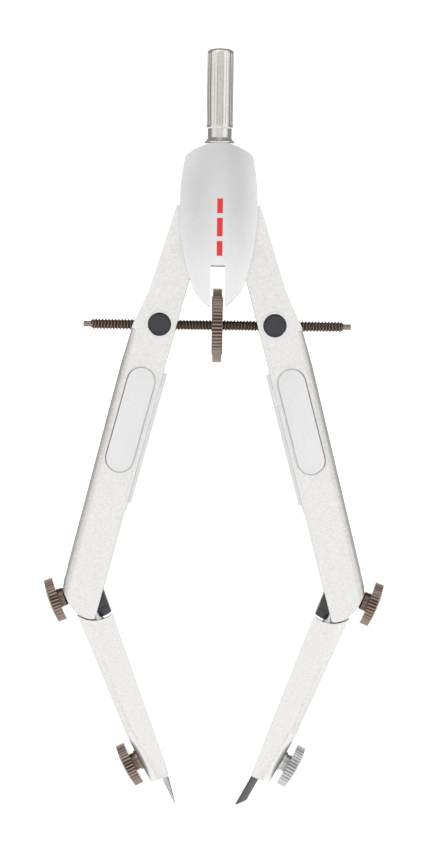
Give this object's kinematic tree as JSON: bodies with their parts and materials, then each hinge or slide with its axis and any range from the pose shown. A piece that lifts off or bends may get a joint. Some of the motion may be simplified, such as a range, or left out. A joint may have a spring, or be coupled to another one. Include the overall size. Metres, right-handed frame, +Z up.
{
  "type": "quick-set bow compass",
  "caption": "Drafting bow compass with a knurled handle, domed head, geared channel legs, quick-release levers on a threaded spindle, jointed lower legs, a needle and a lead.",
  "frame": {"origin": "on the handle's axis at the lower end of the knurled grip", "axes": "+Z up along the handle, +X across the two legs to the lead side, -Y the front with the lever pads"},
  "size_m": [0.074, 0.0162, 0.1646],
  "materials": {
    "satin_silver": "satin",
    "grained_silver": "fine grained satin",
    "nickel": "satin",
    "steel": "brushed",
    "brown_nickel": "bright worn",
    "black": "matte",
    "graphite": "matte"
  },
  "bodies": {
    "head": {"handle": "nickel", "handle_stud": "steel", "head_yoke": "steel", "front_shell": "satin_silver", "rear_shell": "satin_silver", "pivot_pins": "steel", "shell_screws": "steel"},
    "spindle_carrier": {"spindle_end_stops": "brown_nickel"},
    "spindle": {"spindle": "brown_nickel", "centre_wheel": "brown_nickel"},
    "left_leg": {"left_leg": "grained_silver", "left_gear": "steel", "left_ring": "satin_silver", "left_lever_pin": "steel", "left_lever_spring": "steel", "left_knee_pins": "steel"},
    "left_swivel": {"left_swivel_barrel": "black"},
    "left_half_nut": {"left_half_nut": "black"},
    "left_lever": {"left_lever": "satin_silver"},
    "left_knuckle": {"left_knuckle": "black"},
    "left_knee_screw": {"left_knee_screw": "brown_nickel"},
    "left_lower_leg": {"left_lower_leg": "grained_silver", "left_stem": "satin_silver"},
    "left_clamp_screw": {"left_clamp_screw": "brown_nickel"},
    "needle_point": {"needle": "steel"},
    "right_leg": {"right_leg": "grained_silver", "right_gear": "steel", "right_ring": "satin_silver", "right_lever_pin": "steel", "right_lever_spring": "steel", "right_knee_pins": "steel"},
    "right_swivel": {"right_swivel_barrel": "black"},
    "right_half_nut": {"right_half_nut": "black"},
    "right_lever": {"right_lever": "satin_silver"},
    "right_knuckle": {"right_knuckle": "black"},
    "right_knee_screw": {"right_knee_screw": "brown_nickel"},
    "right_lower_leg": {"right_lower_leg": "grained_silver", "right_stem": "satin_silver"},
    "right_clamp_screw": {"right_clamp_screw": "satin_silver"},
    "lead_point": {"lead": "graphite"}
  },
  "joints": [
    {"name": "left_leg_hinge", "type": "hinge", "parent": "head", "child": "left_leg", "pos_m": [-0.0037, 0, -0.011], "axis": [0, 1, 0], "range_deg": [-2.24, 18.44]},
    {"name": "left_swivel_hinge", "type": "hinge", "parent": "left_leg", "child": "left_swivel", "pos_m": [-0.01249, 0, -0.04271], "axis": [0, -1, 0], "range_deg": [-2.24, 18.44]},
    {"name": "left_lever_rock", "type": "hinge", "parent": "left_leg", "child": "left_lever", "pos_m": [-0.01596, -0.0009, -0.05741], "axis": [0.9668, 0, -0.2554], "range_deg": [0, 2.45]},
    {"name": "left_half_nut_slide", "type": "slide", "parent": "left_swivel", "child": "left_half_nut", "axis": [0, -1, 0], "range_m": [0, 0.0006457]},
    {"name": "left_knee", "type": "hinge", "parent": "left_leg", "child": "left_knuckle", "pos_m": [-0.02598, 0, -0.10079], "axis": [0, -1, 0], "range_deg": [-35.6, 10]},
    {"name": "left_knee_screw_turn", "type": "hinge", "parent": "left_knuckle", "child": "left_knee_screw", "pos_m": [-0.02638, 0, -0.09971], "axis": [-0.9348, 0, -0.3551], "range_deg": [0, 540]},
    {"name": "left_lower_leg_pull", "type": "slide", "parent": "left_knuckle", "child": "left_lower_leg", "axis": [0.3551, 0, -0.9348], "range_m": [0, 0.008]},
    {"name": "left_clamp_screw_turn", "type": "hinge", "parent": "left_lower_leg", "child": "left_clamp_screw", "pos_m": [-0.01564, 0, -0.13719], "axis": [-0.884, 0, -0.4675], "range_deg": [0, 540]},
    {"name": "needle_slide", "type": "slide", "parent": "left_lower_leg", "child": "needle_point", "axis": [-0.3633, 0, 0.9317], "range_m": [0, 0.003]},
    {"name": "right_leg_hinge", "type": "hinge", "parent": "head", "child": "right_leg", "pos_m": [0.0037, 0, -0.011], "axis": [0, -1, 0], "range_deg": [-2.24, 18.44]},
    {"name": "right_swivel_hinge", "type": "hinge", "parent": "right_leg", "child": "right_swivel", "pos_m": [0.01249, 0, -0.04271], "axis": [0, 1, 0], "range_deg": [-2.24, 18.44]},
    {"name": "right_lever_rock", "type": "hinge", "parent": "right_leg", "child": "right_lever", "pos_m": [0.01596, -0.0009, -0.05741], "axis": [0.9668, 0, 0.2554], "range_deg": [0, 2.45]},
    {"name": "right_half_nut_slide", "type": "slide", "parent": "right_swivel", "child": "right_half_nut", "axis": [0, -1, 0], "range_m": [0, 0.0006457]},
    {"name": "right_knee", "type": "hinge", "parent": "right_leg", "child": "right_knuckle", "pos_m": [0.02598, 0, -0.10079], "axis": [0, 1, 0], "range_deg": [-36.3, 10]},
    {"name": "right_knee_screw_turn", "type": "hinge", "parent": "right_knuckle", "child": "right_knee_screw", "pos_m": [0.0264, 0, -0.09972], "axis": [0.9304, 0, -0.3665], "range_deg": [0, 540]},
    {"name": "right_lower_leg_pull", "type": "slide", "parent": "right_knuckle", "child": "right_lower_leg", "axis": [-0.3665, 0, -0.9304], "range_m": [0, 0.008]},
    {"name": "right_clamp_screw_turn", "type": "hinge", "parent": "right_lower_leg", "child": "right_clamp_screw", "pos_m": [0.0152, 0, -0.13706], "axis": [0.8782, 0, -0.4782], "range_deg": [0, 540]},
    {"name": "lead_slide", "type": "slide", "parent": "right_lower_leg", "child": "lead_point", "axis": [0.4848, 0, 0.8746], "range_m": [0, 0.003]},
    {"name": "spindle_shift", "type": "slide", "parent": "left_swivel", "child": "spindle_carrier", "axis": [1, 0, 0], "range_m": [-0.00118, 0.00968]},
    {"name": "spindle_spin", "type": "hinge", "parent": "spindle_carrier", "child": "spindle", "pos_m": [0, 0, -0.0427], "axis": [1, 0, 0], "range_deg": [-599.88, 4929.99]}
  ],
  "couplings": [
    {"joint": "left_swivel_hinge", "follows": "left_leg_hinge", "ratio": 1},
    {"joint": "left_half_nut_slide", "follows": "left_lever_rock", "m_per_rad": 0.0151},
    {"joint": "right_leg_hinge", "follows": "left_leg_hinge", "ratio": 1},
    {"joint": "right_swivel_hinge", "follows": "left_leg_hinge", "ratio": 1},
    {"joint": "right_half_nut_slide", "follows": "right_lever_rock", "m_per_rad": 0.0151},
    {"joint": "spindle_shift", "follows": "left_leg_hinge", "m_per_rad": 0.03008},
    {"joint": "spindle_spin", "follows": "left_leg_hinge", "ratio": 267.32}
  ]
}
